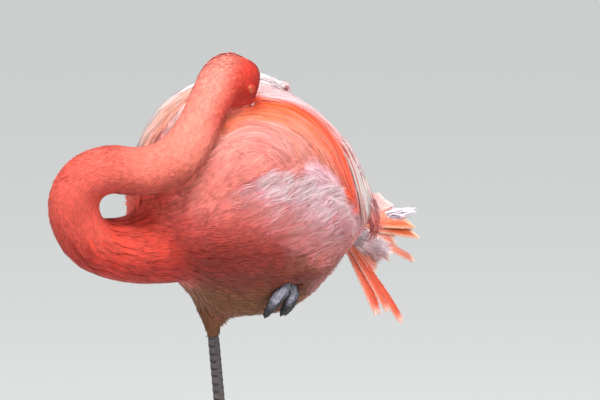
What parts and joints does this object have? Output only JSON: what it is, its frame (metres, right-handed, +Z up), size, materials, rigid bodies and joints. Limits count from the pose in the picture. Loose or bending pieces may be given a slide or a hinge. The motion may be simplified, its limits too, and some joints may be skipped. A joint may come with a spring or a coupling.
{
  "type": "flamingo figure",
  "caption": "Life-size wading bird asleep on one leg: long neck looped before the breast, head laid on the back with the hooked bill in the plumage, other leg drawn up.",
  "frame": {"origin": "on the floor at the middle of the standing foot's sole, under the middle toe", "axes": "+Z is up, the bird faces -X, its left side is -Y"},
  "size_m": [0.6091, 0.2084, 0.9053],
  "materials": {
    "body_plumage": "soft matt",
    "wing_plumage": "soft matt",
    "neck_plumage": "soft matt",
    "head_plumage": "soft matt",
    "tail_plumage": "soft matt",
    "eye": "wet gloss",
    "bill": "satin horn",
    "leg_skin": "scaled, satin"
  },
  "bodies": {
    "root": {"trunk": "body_plumage", "wing_left": "wing_plumage", "wing_right": "wing_plumage", "neck_base": "neck_plumage", "neck_loop": "neck_plumage", "neck_upper": "neck_plumage", "head": "head_plumage", "eye_left": "eye", "eye_right": "eye", "bill_upper": "bill", "bill_lower": "bill", "tail": "tail_plumage", "leg_right_thigh": "body_plumage", "leg_right_shin": "leg_skin", "leg_right_tarsus": "leg_skin", "leg_right_foot": "leg_skin", "leg_left_thigh": "body_plumage", "leg_left_foot": "leg_skin"}
  },
  "joints": []
}
